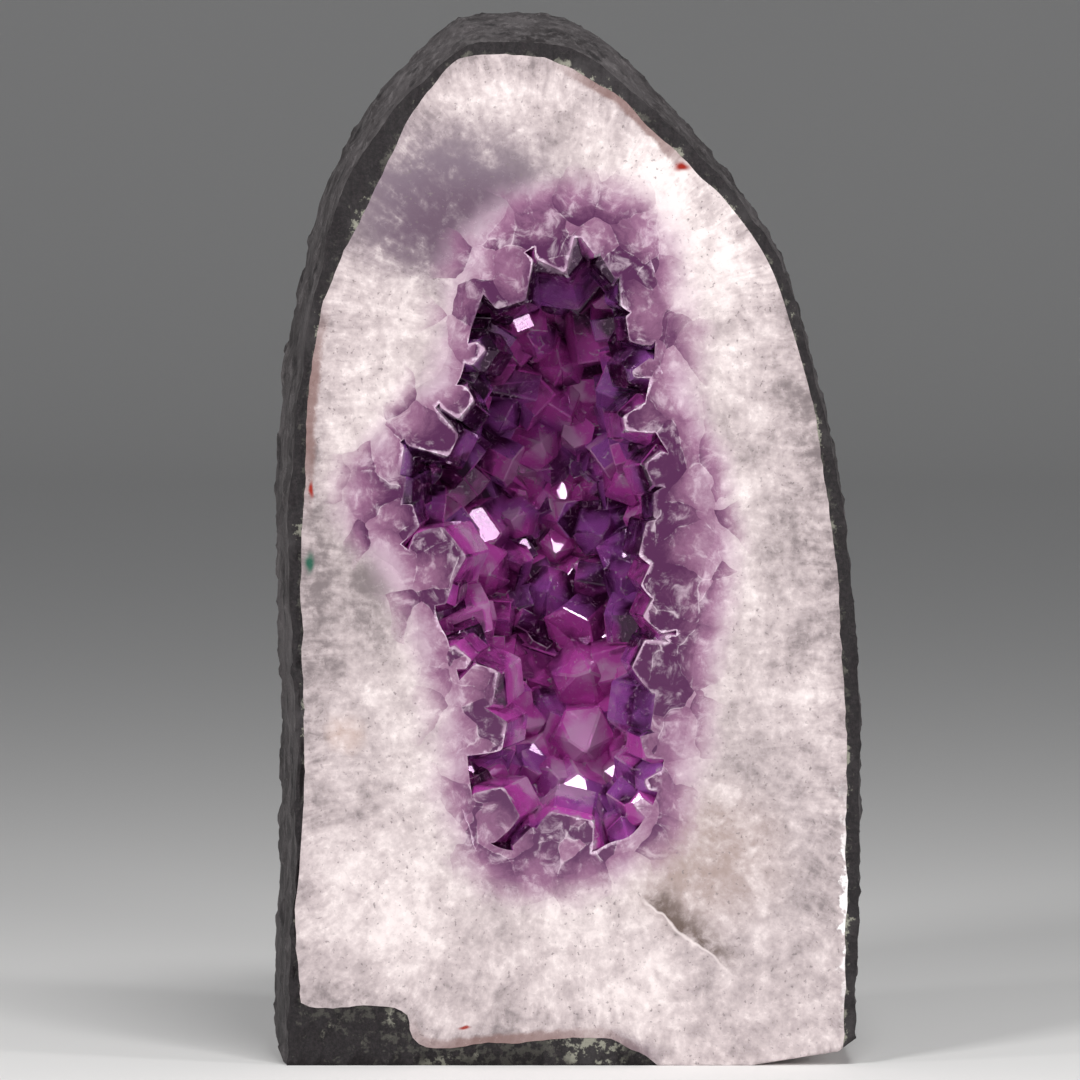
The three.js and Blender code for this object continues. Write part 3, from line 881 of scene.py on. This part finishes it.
amethyst = {
    "columns": 220,
    "rows": 16,
    "outerFront": (-4, 0, 1.8, 3, 4.5, 7),  # depths in mm of the lining's first rings
    "innerFront": (-4, 0, 3, 6),
    "evenFrom": 10,
    "seatColumns": 400,
    "seatRows": 80,
    "skinUnderCrystals": 2.5 * mm,  # solid amethyst between the bowl and the crystals
    "intoQuartz": 0.3 * mm,
    "sawnRecess": 0.05 * mm,
    "rFaceSlope": 51.8,  # degrees between a rhombohedral face and the base of the crystal
    "rimReach": 3.6 * mm,  # into the hollow at the saw cut
    "rimDepth": 10 * mm,
    "jitter": 0.34,
    "stretch": ((0.85, 1.1), (0.85, 1.1), (0.9, 1.2)),
    "tries": 40,  # for each crystal that is wanted
    "mirrorUnder": 8 * mm,  # only crystals of a smaller radius may turn to a lamp
    "mirrorSlack": 0.012,
    "masters": 7,  # kinds of crystal that the grown ones are copied from
    "prismLength": 3.4,  # in radii
    "prismRise": 0.1,
    "setbacks": ((0.04, 0.3), (0, 0.1)),  # of the small and the large faces at the tip
    "wornEdge": 0.048,  # of the radius
    "wornWidth": 0.45 * mm,  # faces narrower than this count as worn edges, painted pale both as chips and as a painted edge highlight
    "sawGrid": 150,
    "glinting": 0.22,  # the share of the smaller crystals that turn a face to a lamp
    "glints": [  # x and z in mm of a bright face, radius of its crystal, the lamp it mirrors
        (-26, 101, 10, "keyBox"), (1, 94, 12.5, "keyBox"), (-3, 183, 7, "topBox"),
        (6, 187, 6, "keyBox"), (2, 146, 6, "topBox"), (12, 145, 7, "keyBox"),
        (-12, 106, 8, "fillBox"), (16, 101, 5, "keyBox"), (-22, 122, 6, "keyBox"),
        (-31, 187, 12, "fillBox"), (-15, 254, 8, "leftBox"), (11, 271, 5, "keyBox"),
        (-5, 152, 5, "leftBox"), (20, 160, 5, "rightBox"), (-3, 200, 5, "keyBox"),
    ],
    "pitMargin": 0.4 * mm,
    "pitLimit": 4 * mm,  # larger openings in the cut stay
    "rimLimit": 3.3 * mm,  # the rim lies no further out of the hollow than this
    "largeRise": 0.55,  # how far a large crystal's shoulder stands off the wall, in radii
    "seed": 21,
    "large": [  # x and z in mm, radius in mm, how far it leans right and up
        (-3, 246, 11, 0.05, -0.1), (6, 134, 15, 0.1, 0.15),
        (5, 112, 12.5, 0.05, -0.2), (-16, 118, 9, -0.1, -0.15), (-31, 172, 12.5, 0.2, -0.1),
        (-11, 254, 9.5, -0.3, 0.2), (-11, 216, 10, 0.15, 0.1), (-22, 140, 10.5, 0.25, 0.1),
        (-6, 162, 10.5, -0.1, 0.2), (10, 186, 10, 0.2, -0.15), (22, 205, 10.5, -0.25, 0.05),
        (17, 228, 9.5, -0.2, -0.1), (-18, 190, 9.5, -0.15, -0.05), (22, 168, 10.5, -0.3, 0.1),
        (-24, 228, 10, 0.2, -0.15), (-2, 272, 10, 0.1, -0.25), (-4, 96, 10.5, 0.1, 0.3),
    ],
    "grown": [  # rise is how far the shoulder stands off the wall, in radii
        {"count": 34, "radius": (8 * mm, 14 * mm), "apart": 0.55, "depth": (0, 7 * mm),
         "rise": -0.45, "frontLean": 2.2},
        {"count": 110, "radius": (7 * mm, 11 * mm), "apart": 0.58, "depth": (7 * mm, 80 * mm),
         "rise": 0.05, "frontLean": 0.85},
        {"count": 160, "radius": (4.4 * mm, 6.5 * mm), "apart": 0.56, "depth": (8 * mm, 80 * mm),
         "rise": 0.1, "frontLean": 0.85},
        {"count": 240, "radius": (2.4 * mm, 4 * mm), "apart": 0.56, "depth": (8 * mm, 80 * mm),
         "rise": 0.1, "frontLean": 0.85},
    ],
}


def makeCrystalMaster(index, chance):
    # a six-sided prism, cut to three large and three small faces at its tip
    deselectAll()
    bpy.ops.mesh.primitive_cylinder_add(vertices=6, radius=1, depth=amethyst["prismLength"],
                                        location=(0, 0, amethyst["prismRise"]))
    master = bpy.context.object
    master.name = f"crystalMaster{index}"
    bpy.ops.object.transform_apply(location=True, rotation=True, scale=True)
    apothem = math.cos(math.pi / 6)
    slope = math.radians(amethyst["rFaceSlope"])
    bpy.ops.object.mode_set(mode="EDIT")
    for side in range(6):
        angle = math.radians(60 * side)  # the cylinder's flats face 0, 60, 120 degrees
        out = Vector((math.cos(angle), math.sin(angle), 0))
        setback = chance.uniform(*amethyst["setbacks"][side % 2])
        facing = out * math.sin(slope) + Vector((0, 0, math.cos(slope)))
        cutOff(out * apothem * (1 + setback), facing)
    bpy.ops.mesh.select_all(action="SELECT")
    bpy.ops.mesh.bevel(offset=amethyst["wornEdge"], segments=1, affect="EDGES")
    bpy.ops.object.mode_set(mode="OBJECT")
    return master


def skinBack():
    return quartz["underCrystalsBack"] - amethyst["skinUnderCrystals"]


def skinRing(station, depth):
    # the inner side of the solid amethyst that the crystals stand on
    near = 1 - min(max(depth, 0) / amethyst["rimDepth"], 1)
    side = quartz["underCrystals"] - amethyst["skinUnderCrystals"]
    reach = amethyst["rimReach"] * (1 + 0.6 * mouthGrain(station, 7.7, 15 * mm, 2))
    grow = side - (reach + side) * near
    return hollowRing(station, max(depth, 0), grow, skinBack()) + (0, min(depth, 0), 0)


def seatGrid():
    # points of the hollow's wall with the way they face, and the area each stands for
    station = hollowLine.evenStations(amethyst["seatColumns"])
    shares = np.sin(np.linspace(0, 1, amethyst["seatRows"]) * math.pi / 2)
    depths = (layout["hollowDepth"] + skinBack()) * shares
    grid = np.array([skinRing(station, depth) for depth in depths])
    across = np.roll(grid, -1, 1) - np.roll(grid, 1, 1)
    down = np.gradient(grid, axis=0)
    facing = np.cross(down, across)
    area = np.linalg.norm(facing, axis=2)
    facing /= area[:, :, None] + 1e-12
    return grid.reshape(-1, 3), facing.reshape(-1, 3), area.ravel()


def wallDepth(x, z):
    # how deep the hollow's wall lies behind a place on the sawn face
    fromX, fromZ = x - hollowCentre[0], z - hollowCentre[1]
    mouthX, mouthZ = (hollowLine.loop - hollowCentre).T
    apart = np.abs(np.angle((mouthX + 1j * mouthZ) / complex(fromX, fromZ)))
    nearest = int(np.argmin(apart))
    share = math.hypot(fromX, fromZ) / math.hypot(mouthX[nearest], mouthZ[nearest])
    return (layout["hollowDepth"] + skinBack()) * dome(share, layout["hollowPower"])


def placeCrystals():
    chance = random.Random(amethyst["seed"])
    points, facings, area = seatGrid()
    placed = []
    for x, z, radius, lamp in amethyst["glints"]:
        bright = Vector((x * mm, faceY + wallDepth(x * mm, z * mm), z * mm))
        axis, turn, facing = turnToLamp(bright, frontward, lamp, chance)
        seat = bright - Vector((facing.x, 0, facing.z)) * radius * mm * 0.9
        seat.y -= amethyst["largeRise"] * radius * mm
        placed.append((seat, axis, radius * mm, turn))
    for x, z, radius, right, up in amethyst["large"]:
        seat = Vector((x * mm, faceY + wallDepth(x * mm, z * mm), z * mm))
        seat.y -= amethyst["largeRise"] * radius * mm
        placed.append((seat, Vector((right, -1, up)).normalized(), radius * mm, None))
    depths = points[:, 1] - faceY
    for kind in amethyst["grown"]:
        allowed = area * (depths >= kind["depth"][0]) * (depths < kind["depth"][1])
        heights = np.cumsum(allowed) / allowed.sum()
        made = 0
        for _ in range(kind["count"] * amethyst["tries"]):
            if made == kind["count"]:
                break
            index = min(int(np.searchsorted(heights, chance.random())), len(points) - 1)
            radius = chance.uniform(*kind["radius"])
            facing = Vector(facings[index])
            seat = Vector(points[index]) + facing * radius * kind["rise"]
            if any((seat - other).length < kind["apart"] * (radius + size)
                   for other, way, size, spin in placed):
                continue
            wobble = Vector([chance.uniform(-1, 1) for _ in range(3)]) * amethyst["jitter"]
            axis = (facing + frontward * kind["frontLean"] + wobble).normalized()
            turn = None
            if radius < amethyst["mirrorUnder"] and chance.random() < amethyst["glinting"]:
                lamp = chance.choice(studio["boxes"])[0]
                axis, turn = turnToLamp(seat, axis, lamp, chance)[:2]
            placed.append((seat, axis, radius, turn))
            made += 1
        print("crystals placed:", made, "of", kind["count"])
    return placed


def makeLining():
    station = hollowLine.evenStations(amethyst["columns"])
    more = amethyst["intoQuartz"]
    end = layout["hollowDepth"] + quartz["underCrystalsBack"] + more
    innerEnd = layout["hollowDepth"] + skinBack()
    outerDepths, innerDepths = [
        np.array([*front, *closingDepths(amethyst["evenFrom"], last / mm, amethyst["rows"])]) * mm
        for front, last in ((amethyst["outerFront"], end), (amethyst["innerFront"], innerEnd))]
    outside = [bowlRing(station, depth, more) for depth in outerDepths[::-1]]
    outside.insert(0, poleRing(outside[0]))
    inside = [skinRing(station, depth) for depth in innerDepths]
    inside.append(poleRing(inside[-1]))
    piece = addSkin("amethystLining", np.concatenate([outside, inside]))[0]
    closeSkin(piece, shadeSmooth=False)
    return piece


def sawFront(piece):
    # a cutter with a fine grid, so that the sawn face comes out in small pieces
    deselectAll()
    thick = 0.1
    place = (0, faceY + amethyst["sawnRecess"] - thick / 2, tall / 2)
    bpy.ops.mesh.primitive_cube_add(size=1, location=place)
    saw = bpy.context.object
    saw.scale = (2.2 * halfWidth, thick, 0.9 * tall)
    settle(saw)
    bpy.ops.object.mode_set(mode="EDIT")
    bpy.ops.mesh.select_all(action="SELECT")
    bpy.ops.mesh.subdivide(number_cuts=amethyst["sawGrid"])
    bpy.ops.object.mode_set(mode="OBJECT")
    applyModifier(piece, "BOOLEAN", operation="DIFFERENCE", solver="MANIFOLD", object=saw)
    removePiece(saw)


def faceFigures(piece):
    count = len(piece.data.polygons)
    centres, facings, areas = np.empty(count * 3), np.empty(count * 3), np.empty(count)
    piece.data.polygons.foreach_get("center", centres)
    piece.data.polygons.foreach_get("normal", facings)
    piece.data.polygons.foreach_get("area", areas)
    return centres.reshape(-1, 3), facings.reshape(-1, 3), areas


def sawnFaces(piece):
    centres, facings, areas = faceFigures(piece)
    return (centres[:, 1] < faceY + 2 * amethyst["sawnRecess"]) & (facings[:, 1] < -0.99)


def edgesOfCut(piece):
    # the edges between the sawn face and the rest, as pairs of vertices
    sawn = sawnFaces(piece)
    sides = {}
    for polygon in piece.data.polygons:
        for key in polygon.edge_keys:
            sides.setdefault(key, set()).add(bool(sawn[polygon.index]))
    return [key for key, kinds in sides.items() if len(kinds) == 2]


def findPits(piece):
    # middle and radius of each small pocket between crystals that a trial cut opens
    trial = piece.copy()
    trial.data = piece.data.copy()
    bpy.context.scene.collection.objects.link(trial)
    sawFront(trial)
    beside = {}
    for first, second in edgesOfCut(trial):
        beside.setdefault(first, []).append(second)
        beside.setdefault(second, []).append(first)
    pits, seen = [], set()
    for start in beside:
        loop, waiting = [], [start]
        while waiting:
            index = waiting.pop()
            if index not in seen:
                seen.add(index)
                loop.append(trial.data.vertices[index].co.copy())
                waiting += beside[index]
        if loop:
            low, high = Vector(map(min, zip(*loop))), Vector(map(max, zip(*loop)))
            radius = (high - low).length / 2 + amethyst["pitMargin"]
            if radius < amethyst["pitLimit"]:
                pits.append(((low + high) / 2, radius))
    removePiece(trial)
    return pits


def noteRim(piece):
    # how far each point lies from the broken edge between the sawn face and the hollow
    samples = []
    for key in edgesOfCut(piece):
        start, end = (piece.data.vertices[index].co for index in key)
        if outOfHollow(start.x, start.z) < amethyst["rimLimit"]:
            steps = 2 + int((end - start).length / (0.5 * mm))
            samples += [start.lerp(end, share) for share in np.linspace(0, 1, steps)]
    tree = kdtree.KDTree(len(samples))
    for index, sample in enumerate(samples):
        tree.insert(sample, index)
    tree.balance()
    distances = [tree.find(vertex.co)[2] / mm for vertex in piece.data.vertices]
    noteOn(piece, "fromRim", distances)


def noteOnAmethyst(piece, placed, chance):
    centres, facings, areas = faceFigures(piece)
    middles = np.array([seat + axis * radius * 0.5 for seat, axis, radius, turn in placed])
    radii = np.array([radius for seat, axis, radius, turn in placed])
    tones = np.array([chance.random() for _ in placed])
    apart = np.linalg.norm(centres[:, None] - middles[None], axis=2) / radii
    nearest = np.argmin(apart, axis=1)
    noteOn(piece, "tone", tones[nearest], "FACE")
    facets = {}  # each facet of a crystal gets its own painted lightness, standing in for the light reflected inside it
    ways = np.rint(facings * 3).astype(int).tolist()
    lightness = [facets.setdefault((crystal, *way), chance.random())
                 for crystal, way in zip(nearest.tolist(), ways)]
    noteOn(piece, "paintedFacetLight", lightness, "FACE")
    noteOn(piece, "sawn", sawnFaces(piece), "FACE")
    noteRim(piece)
    corners = piece.data.vertices
    around = [sum((corners[start].co - corners[end].co).length for start, end in polygon.edge_keys)
              for polygon in piece.data.polygons]
    noteOn(piece, "wornAndPaintedGlint", 2 * areas / np.array(around) < amethyst["wornWidth"], "FACE")
    noteGrowth(piece)
    places = vertexPlaces(piece)
    rises = np.full(len(places), 9.0)  # how far up its crystal a point is, in radii
    closest = np.full(len(places), 9.0)
    for seat, axis, radius, turn in placed:
        away = (places - np.array(seat)) / radius
        far = np.linalg.norm(away - np.array(axis) * 0.5, axis=1)
        nearer = far < closest
        rises[nearer] = (away @ np.array(axis))[nearer]
        closest[nearer] = far[nearer]
    noteOn(piece, "rise", rises)


def turnToLamp(seat, axis, lamp, chance):
    # an axis and a turn at which one large face mirrors a lamp straight to the front
    lampPlace = next(Vector(place) for name, place, size, power in studio["boxes"] if name == lamp)
    facing = (lampPlace - seat).normalized() + (cameraPlace() - seat).normalized()
    facing += Vector([chance.uniform(-1, 1) for _ in range(3)]) * amethyst["mirrorSlack"]
    facing.normalize()
    slope = math.radians(amethyst["rFaceSlope"])
    side = facing.cross(axis).normalized()
    axis = Quaternion(side, slope) @ facing
    across = (facing - axis * facing.dot(axis)).normalized()
    turn = Matrix((across, axis.cross(across), axis)).transposed().to_quaternion()
    return axis, turn @ Quaternion((0, 0, 1), math.radians(-60)), facing


def joinAll(piece, others):
    applyModifier(piece, "BOOLEAN", operation="UNION", solver="MANIFOLD",
                  operand_type="COLLECTION", collection=others)
    for other in list(others.objects):
        removePiece(other)


def makeAmethyst():
    chance = random.Random(amethyst["seed"] + 1)
    lining = makeLining()
    masters = [makeCrystalMaster(index, chance) for index in range(amethyst["masters"])]
    grown = bpy.data.collections.new("grownCrystals")
    bpy.context.scene.collection.children.link(grown)
    placed = placeCrystals()
    for seat, axis, radius, turn in placed:
        master = chance.choice(masters)
        crystal = master.copy()
        crystal.data = master.data.copy()
        wide = Vector((1, 1, 1))
        if turn is None:
            turn = Vector((0, 0, 1)).rotation_difference(axis)
            turn = turn @ Quaternion((0, 0, 1), chance.uniform(0, 2 * math.pi))
            wide = Vector([chance.uniform(*limits) for limits in amethyst["stretch"]])
        crystal.matrix_world = Matrix.LocRotScale(seat, turn, wide * radius)
        grown.objects.link(crystal)
    joinAll(lining, grown)
    for master in masters:
        removePiece(master)
    for middle, radius in findPits(lining):
        bpy.ops.mesh.primitive_ico_sphere_add(subdivisions=2, radius=radius, location=middle)
        ball = bpy.context.object
        ball.users_collection[0].objects.unlink(ball)
        grown.objects.link(ball)
    joinAll(lining, grown)
    bpy.data.collections.remove(grown)
    sawFront(lining)
    noteOnAmethyst(lining, placed, chance)
    return lining


amethystLook = {
    "dark": (0.022, 0.002, 0.02),
    "violet": (0.46, 0.12, 0.56),
    "magenta": (0.84, 0.12, 0.66),
    "pale": (0.95, 0.60, 0.90),
    "rim": (0.62, 0.42, 0.56),
    "chipAndPaintedSparkle": (0.85, 0.72, 0.83),
    "mirror": (0.92, 0.62, 0.92, 1),  # the tint of what the facets mirror
    "body": (0.6, 0.16, 0.576, 1),
    "density": 25,
    "index": 1.544,
    "lighter": [  # x, z, half width, half height in mm, by how much; painted light in the middle and low in the hollow, painted shade at its top
        (4, 108, 42, 46, 0.34), (-6, 205, 34, 56, 0.32),
        (-24, 262, 18, 34, -0.2), (4, 286, 24, 14, -0.2),
    ],
    "spotDepth": 120,
}


def amethystMaterial():
    # clear, with a purple body colour for the veils and flaws inside the crystals, and with painted
    # light and shade in it: painted shade in the gaps between crystals and at the top of the
    # hollow, painted highlights on facets, tips, edges and sparkle
    material, tree, shader = newMaterial("amethyst")
    look = amethystLook
    where = objectPlace(tree)
    tone, paintedFacetLight, rise, sawn, wornAndPaintedGlint, fromRim = [
        noted(tree, name) for name in ("tone", "paintedFacetLight", "rise", "sawn", "wornAndPaintedGlint", "fromRim")]
    patches = speckle(tree, where, 38, 3, 0.5)
    veils = speckle(tree, where, 120, 4, 0.6, 0.8)
    # painted sparkle: small bright specks standing in for glints
    paintedSparkle = speckle(tree, where, 420, 3, 0.7, 1.0)
    hue = addShare(tree, times(tree, tone, 0.5), patches, 0.9)
    # painted shade: darker low down between the crystals, lighter up towards their tips; the random
    # tone, the painted facet light and the veils are added to it
    paintedLightAndTone = easeBetween(tree, rise, 0.1, 1.0, 0, 0.5)
    for value, share in ((tone, 0.26), (paintedFacetLight, 0.36), (veils, 0.85)):
        paintedLightAndTone = addShare(tree, paintedLightAndTone, value, share)
    # painted light in the middle and low in the hollow, painted shade at its top
    paintedLightAndTone = addSpots(tree, where, paintedLightAndTone, look["lighter"], look["spotDepth"])
    # low lightness is painted dark as shade, high lightness pale as painted light, and the painted
    # sparkle pale too
    colour = layered(tree, look, "violet", (
        (hue, 0.55, 0.8, 0, 1, "magenta"), (paintedLightAndTone, 0.62, 1.18, 1, 0, "dark"),
        (paintedLightAndTone, 1.22, 1.65, 0, 0.8, "pale"), (paintedSparkle, 0.56, 0.68, 0, 0.4, "pale")))
    # worn edges painted pale as chips and as a painted edge highlight, with the painted sparkle
    # over them
    chips = times(tree, wornAndPaintedGlint, easeBetween(tree, veils, 0.45, 0.6, 0.1, 0.9))
    chips = figure(tree, "MAXIMUM", chips, easeBetween(tree, paintedSparkle, 0.66, 0.71))
    colour = blendColours(tree, chips, colour, look["chipAndPaintedSparkle"])
    cut = sawnQuartz(tree, where, nearHollow=True)[0]
    colour = blendColours(tree, sawn, colour, cut)
    # the broken rim of the cut: pale as chipped quartz and partly a painted highlight along the
    # edge; its brightest bits are painted sparkle
    wide = easeBetween(tree, veils, 0.4, 0.65, 0.5, 2.4)
    rim = easeBetween(tree, figure(tree, "DIVIDE", fromRim, wide), 0.2, 0.8, 1, 0)
    rim = times(tree, rim, easeBetween(tree, patches, 0.42, 0.58, 0.1, 0.8))
    colour = blendColours(tree, rim, colour, look["rim"])
    bright = times(tree, rim, easeBetween(tree, paintedSparkle, 0.52, 0.6))
    colour = blendColours(tree, bright, colour, look["chipAndPaintedSparkle"])
    tree.links.new(bumpFrom(tree, veils, 0.08 * mm, 0.35), shader.inputs["Normal"])
    tree.links.new(colour, shader.inputs["Base Color"])
    tree.links.new(addShare(tree, 0.66, sawn, -0.56), shader.inputs["Transmission Weight"])
    shader.inputs["Roughness"].default_value = 0.02
    shader.inputs["IOR"].default_value = look["index"]
    shader.inputs["Specular Tint"].default_value = look["mirror"]
    absorb = addNode(tree, "VolumeAbsorption", {"Color": look["body"], "Density": look["density"]})
    tree.links.new(absorb.outputs["Volume"], tree.nodes["Material Output"].inputs["Volume"])
    return material


# floor, light and camera

studio = {
    "boxes": [  # name, place, size, power
        ("keyBox", (-0.85, -1.45, 1.25), (0.38, 0.38), 17),
        ("fillBox", (0.95, -1.75, 0.75), (0.3, 0.3), 6),
        ("topBox", (0.2, -0.75, 1.35), (0.45, 0.25), 9),
        ("leftBox", (-1.3, -0.75, 0.45), (0.2, 0.4), 6),
        ("rightBox", (1.3, -0.7, 0.5), (0.2, 0.4), 8),
    ],
    "aim": (0, -0.05, 0.19),  # where the lamps point
    "floor": (0.78, 0.77, 0.76),
    "floorSize": 60,
    "wallPlace": 6,  # behind the stone
    "wallHeight": 4,
    "wallCurve": 1.6,
    "sky": (0.8, 0.82, 0.85, 1),
    "skyStrength": 0.2,
    "sensor": 36,
    "farthest": 20,
    "cameraDistance": 3.2,
    "cameraHeight": 3.0,  # degrees above level
    "aimX": -9.8 * mm,
    "frameHeight": 0.3785,
}


def pickEdges(piece, chosen):
    # leaves the piece in edit mode with only those edges picked
    bpy.ops.object.mode_set(mode="EDIT")
    bpy.ops.mesh.select_all(action="DESELECT")
    bpy.ops.object.mode_set(mode="OBJECT")
    for edge in piece.data.edges:
        edge.select = all(chosen(piece.data.vertices[end].co) for end in edge.vertices)
    bpy.ops.object.mode_set(mode="EDIT")


def makeFloor():
    # a floor that curves up into a back wall, with no line between them
    deselectAll()
    size, wall = studio["floorSize"], studio["wallPlace"]
    bpy.ops.mesh.primitive_plane_add(size=size, location=(0, wall - size / 2, 0))
    floor = bpy.context.object
    floor.name = "studioFloor"
    pickEdges(floor, lambda end: end.y > 0)
    bpy.ops.mesh.extrude_region_move(TRANSFORM_OT_translate={"value": (0, 0, studio["wallHeight"])})
    pickEdges(floor, lambda end: end.y > 0 and end.z < 1)
    bpy.ops.mesh.bevel(offset=studio["wallCurve"], segments=24, affect="EDGES")
    bpy.ops.object.mode_set(mode="OBJECT")
    bpy.ops.object.shade_smooth()
    settle(floor)
    material, tree, shader = newMaterial("studioPaper")
    shader.inputs["Base Color"].default_value = (*studio["floor"], 1)
    shader.inputs["Roughness"].default_value = 0.7
    floor.data.materials.append(material)


def addSoftbox(name, place, size, power):
    lamp = bpy.data.lights.new(name, "AREA")
    lamp.shape = "RECTANGLE"
    lamp.size, lamp.size_y = size
    lamp.energy = power
    box = bpy.data.objects.new(name, lamp)
    bpy.context.scene.collection.objects.link(box)
    box.location = place
    box.rotation_euler = (Vector(studio["aim"]) - Vector(place)).to_track_quat("-Z", "Y").to_euler()


def cameraPlace():
    lift = math.radians(studio["cameraHeight"])
    back = Vector((0, -math.cos(lift), math.sin(lift))) * studio["cameraDistance"]
    return Vector((studio["aimX"], faceY, tall / 2)) + back


def makeStudio():
    makeFloor()
    for name, place, size, power in studio["boxes"]:
        addSoftbox(name, place, size, power)
    world = bpy.data.worlds.new("studio")
    world.use_nodes = True
    sky = world.node_tree.nodes["Background"]
    sky.inputs["Color"].default_value = studio["sky"]
    sky.inputs["Strength"].default_value = studio["skyStrength"]
    bpy.context.scene.world = world
    camera = bpy.data.cameras.new("camera")
    camera.sensor_width = studio["sensor"]
    camera.lens = studio["sensor"] * studio["cameraDistance"] / studio["frameHeight"]
    camera.clip_end = studio["farthest"]
    eye = bpy.data.objects.new("camera", camera)
    bpy.context.scene.collection.objects.link(eye)
    eye.location = cameraPlace()
    eye.rotation_euler = (math.radians(90 - studio["cameraHeight"]), 0, 0)
    bpy.context.scene.camera = eye
    bpy.context.scene.view_settings.view_transform = "Standard"


def finishPiece(piece, material, node):
    piece.data.materials.clear()
    piece.data.materials.append(material)
    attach(piece, "root")
    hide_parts(node)


makeStudio()
print("studio ready")
finishPiece(makeRind(), basaltMaterial(), "basalt_rind")
print("rind done")
finishPiece(makeQuartz(), quartzMaterial(), "quartz_wall")
print("quartz wall done")
finishPiece(makeAmethyst(), amethystMaterial(), "amethyst_crystals")
print("amethyst done")
